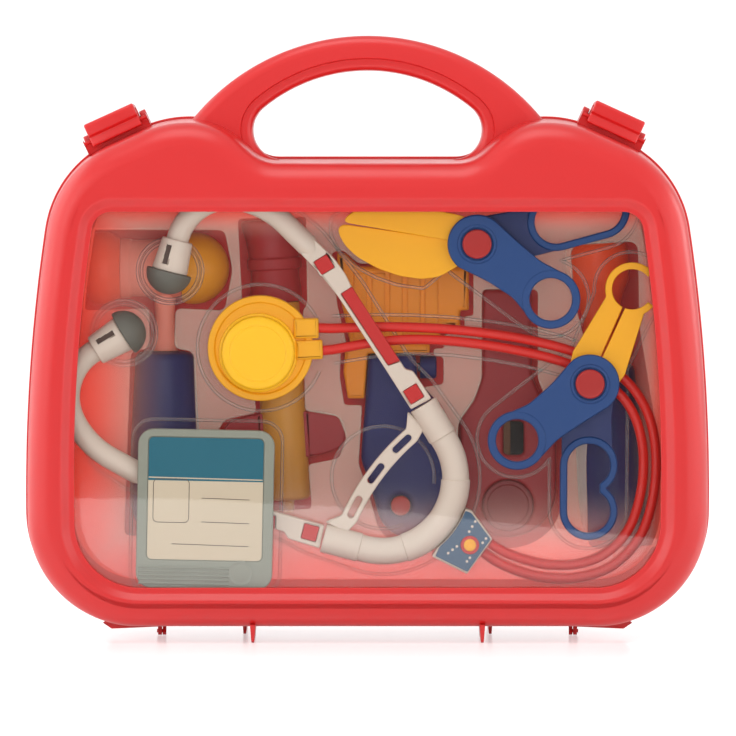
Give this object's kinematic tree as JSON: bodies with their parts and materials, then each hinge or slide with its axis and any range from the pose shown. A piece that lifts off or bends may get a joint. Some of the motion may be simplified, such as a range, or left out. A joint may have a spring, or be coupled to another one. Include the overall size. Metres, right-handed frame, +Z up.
{
  "type": "toy doctor case",
  "caption": "Hinged plastic carrying case with a clear window, shoulder latches and an arched handle, holding a toy stethoscope, scissors, forceps, syringe and other play doctor's tools.",
  "frame": {"origin": "centre of the bounding box at the floor, under the parting plane of the two shells", "axes": "+X to the right along the case's width, +Y from the window to the back, +Z up; the window faces -Y"},
  "size_m": [0.308, 0.084, 0.2698],
  "materials": {
    "red_shell": "satin moulded polypropylene",
    "clear_window": "clear, polished",
    "clear_tray": "clear thermoformed sheet",
    "white_plastic": "satin",
    "red_trim": "gloss",
    "grey_rubber": "soft, matte",
    "blue_plastic": "satin",
    "yellow_plastic": "satin",
    "red_hose": "smooth",
    "grey_plastic": "satin, slightly translucent",
    "card": "printed card, left blank",
    "navy_plastic": "satin",
    "orange_plastic": "satin",
    "maroon_plastic": "satin",
    "black_rubber": "soft",
    "smoke_plastic": "gloss"
  },
  "bodies": {
    "rear_case": {"rear_shell": "red_shell", "clear_tray": "clear_tray", "headset_ring": "white_plastic", "headset_bridge": "white_plastic", "headset_arms": "white_plastic", "ear_tubes": "white_plastic", "ear_tips": "grey_rubber", "arm_inserts": "red_trim", "arm_strips": "red_trim", "headset_yoke": "white_plastic", "badge_plate": "blue_plastic", "badge_stud": "yellow_plastic", "chest_piece_base": "yellow_plastic", "chest_piece_cap": "yellow_plastic", "hose_upper": "red_hose", "hose_lower": "red_hose", "scissors_back_lever": "blue_plastic", "scissors_back_blade": "yellow_plastic", "scissors_pivot": "red_trim", "forceps_back_lever": "blue_plastic", "forceps_back_jaw": "yellow_plastic", "forceps_pivot": "red_trim", "id_holder": "grey_plastic", "id_card": "card", "hammer_grip": "navy_plastic", "hammer_neck": "white_plastic", "hammer_face": "orange_plastic", "hammer_ball": "orange_plastic", "syringe_barrel": "yellow_plastic", "syringe_flange": "maroon_plastic", "scope_handle": "navy_plastic", "scope_button": "red_trim", "scope_collar": "yellow_plastic", "scope_head": "orange_plastic", "scope_knob": "navy_plastic", "gauge_body": "maroon_plastic", "gauge_dial": "smoke_plastic", "torch_grip": "navy_plastic", "torch_head": "orange_plastic", "torch_lens": "smoke_plastic"},
    "lid": {"front_shell": "red_shell", "window_pane": "clear_window"},
    "latch_l": {"latch_left": "red_shell"},
    "latch_r": {"latch_right": "red_shell"},
    "scissors_arm": {"scissors_front_lever": "blue_plastic", "scissors_front_blade": "yellow_plastic"},
    "forceps_arm": {"forceps_front_lever": "blue_plastic", "forceps_front_jaw": "yellow_plastic"},
    "plunger": {"syringe_plunger": "red_trim", "syringe_seal": "black_rubber"}
  },
  "joints": [
    {"name": "lid_hinge", "type": "hinge", "parent": "rear_case", "child": "lid", "pos_m": [0, 0, 0.00195], "axis": [1, 0, 0], "range_deg": [0, 180]},
    {"name": "latch_left_pivot", "type": "hinge", "parent": "rear_case", "child": "latch_l", "pos_m": [-0.11015, 0.007, 0.22919], "axis": [-0.91, 0, -0.4147], "range_deg": [0, 100]},
    {"name": "latch_right_pivot", "type": "hinge", "parent": "rear_case", "child": "latch_r", "pos_m": [0.11015, 0.007, 0.22919], "axis": [-0.91, 0, 0.4147], "range_deg": [0, 100]},
    {"name": "scissors_pivot_turn", "type": "hinge", "parent": "rear_case", "child": "scissors_arm", "pos_m": [0.0486, -0.0285, 0.1771], "axis": [0, -1, 0], "range_deg": [-12, 0]},
    {"name": "forceps_pivot_turn", "type": "hinge", "parent": "rear_case", "child": "forceps_arm", "pos_m": [0.0989, -0.0285, 0.1149], "axis": [0, -1, 0], "range_deg": [-12, 0]},
    {"name": "plunger_slide", "type": "slide", "parent": "rear_case", "child": "plunger", "axis": [-0.0576, 0, 0.9983], "range_m": [0, 0.012]}
  ]
}
